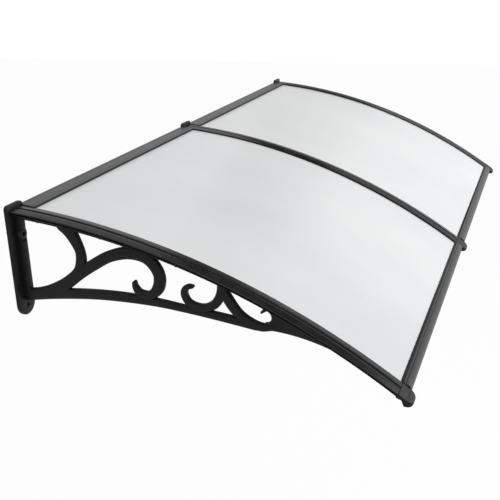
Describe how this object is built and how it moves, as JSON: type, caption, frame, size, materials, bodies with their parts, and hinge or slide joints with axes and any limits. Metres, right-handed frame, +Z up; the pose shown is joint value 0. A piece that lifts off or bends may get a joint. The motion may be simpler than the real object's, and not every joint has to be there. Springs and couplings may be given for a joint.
{
  "type": "door canopy",
  "caption": "Wall-mounted door canopy: curved translucent sheets in aluminium rails, carried by black moulded brackets with scrollwork.",
  "frame": {"origin": "on the back face of the middle bracket's wall plate, on the plate's centre line and 138 mm below its top edge", "axes": "+X along the wall, +Y into the wall, so the canopy reaches out along -Y, +Z up"},
  "size_m": [2.007, 0.9527, 0.366],
  "materials": {
    "bracket_plastic": "satin black moulded plastic",
    "strip_plastic": "satin black extruded plastic",
    "sheet_polycarbonate": "milky translucent smooth polycarbonate",
    "rear_rail_aluminium": "grey satin aluminium",
    "front_rail_aluminium": "dark grey satin aluminium",
    "seal_rubber": "black rubber bead",
    "screw_steel": "plain steel"
  },
  "bodies": {
    "root": {"bracket_left": "bracket_plastic", "cover_strip_left": "strip_plastic", "strip_screw_left_1": "screw_steel", "strip_screw_left_2": "screw_steel", "strip_screw_left_3": "screw_steel", "strip_screw_left_4": "screw_steel", "bracket_middle": "bracket_plastic", "cover_strip_middle": "strip_plastic", "strip_screw_middle_1": "screw_steel", "strip_screw_middle_2": "screw_steel", "strip_screw_middle_3": "screw_steel", "strip_screw_middle_4": "screw_steel", "bracket_right": "bracket_plastic", "cover_strip_right": "strip_plastic", "strip_screw_right_1": "screw_steel", "strip_screw_right_2": "screw_steel", "strip_screw_right_3": "screw_steel", "strip_screw_right_4": "screw_steel", "sheet_left": "sheet_polycarbonate", "rear_rail_left": "rear_rail_aluminium", "rear_seal_left": "seal_rubber", "front_rail_left": "front_rail_aluminium", "front_seal_left": "seal_rubber", "sheet_right": "sheet_polycarbonate", "rear_rail_right": "rear_rail_aluminium", "rear_seal_right": "seal_rubber", "front_rail_right": "front_rail_aluminium", "front_seal_right": "seal_rubber"}
  },
  "joints": []
}
